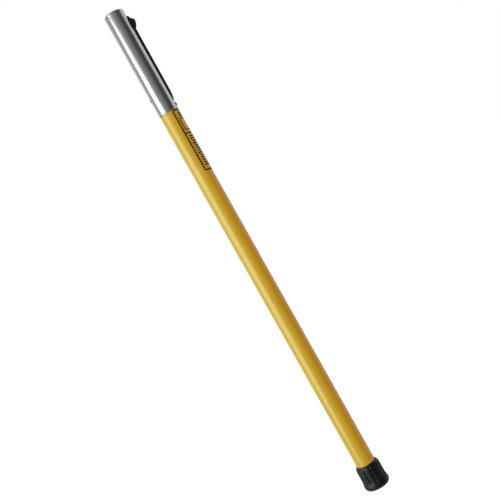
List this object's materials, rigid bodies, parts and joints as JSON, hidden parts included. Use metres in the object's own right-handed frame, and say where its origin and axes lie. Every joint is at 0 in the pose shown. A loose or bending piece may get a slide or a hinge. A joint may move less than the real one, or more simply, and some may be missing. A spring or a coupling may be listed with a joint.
{
  "type": "roller extension pole",
  "caption": "Telescoping paint roller pole: fibreglass outer tube, metal lock sleeve with a rocking thumb lever, threaded sliding inner pole and a rubber foot.",
  "frame": {"origin": "middle of the flat base of the foot, on the pole's axis", "axes": "+Z along the pole, from the foot to the threaded tip; +X towards the lock lever"},
  "size_m": [0.0373, 0.0342, 0.6793],
  "materials": {
    "yellow_fibreglass": "satin",
    "yellow_decal": "satin",
    "polished_sleeve": "polished",
    "drawn_aluminium": "satin",
    "cast_zinc": "matte",
    "plated_steel": "satin",
    "black_nylon": "matte",
    "black_lever": "satin",
    "white_acetal": "satin",
    "black_rubber": "matte"
  },
  "bodies": {
    "outer_pole": {"outer_tube": "yellow_fibreglass", "tube_label": "yellow_decal", "foot_cap": "black_rubber", "foot_washer": "plated_steel", "lock_sleeve": "polished_sleeve", "sleeve_rivet_front": "plated_steel", "sleeve_rivet_back": "plated_steel", "bush_rivet_left": "plated_steel", "bush_rivet_right": "plated_steel", "lock_housing": "black_nylon", "guide_bush": "black_nylon", "lever_pivot_pin": "plated_steel", "lever_spring": "plated_steel"},
    "inner_pole": {"inner_tube": "drawn_aluminium", "threaded_tip": "cast_zinc", "tip_cross_pin": "plated_steel", "slide_bush": "white_acetal", "tail_cross_pin": "plated_steel"},
    "lever": {"lock_lever": "black_lever", "thumb_knob": "black_lever", "lock_pin_link": "plated_steel"},
    "pin": {"lock_pin": "plated_steel"}
  },
  "joints": [
    {"name": "pole_slide", "type": "slide", "parent": "outer_pole", "child": "inner_pole", "axis": [0, 0, 1], "range_m": [0, 0.5334]},
    {"name": "lever_press", "type": "hinge", "parent": "outer_pole", "child": "lever", "pos_m": [0.01075, 0, 0.604], "axis": [0, -1, 0], "range_deg": [-1.55, 1.03], "stiffness_Nm_per_rad": 1.2, "deforming": ["lever_spring"]},
    {"name": "pin_lift", "type": "slide", "parent": "outer_pole", "child": "pin", "axis": [1, 0, 0], "range_m": [-0.0012, 0.0008]}
  ],
  "couplings": [
    {"joint": "pin_lift", "follows": "lever_press", "m_per_rad": 0.044}
  ]
}
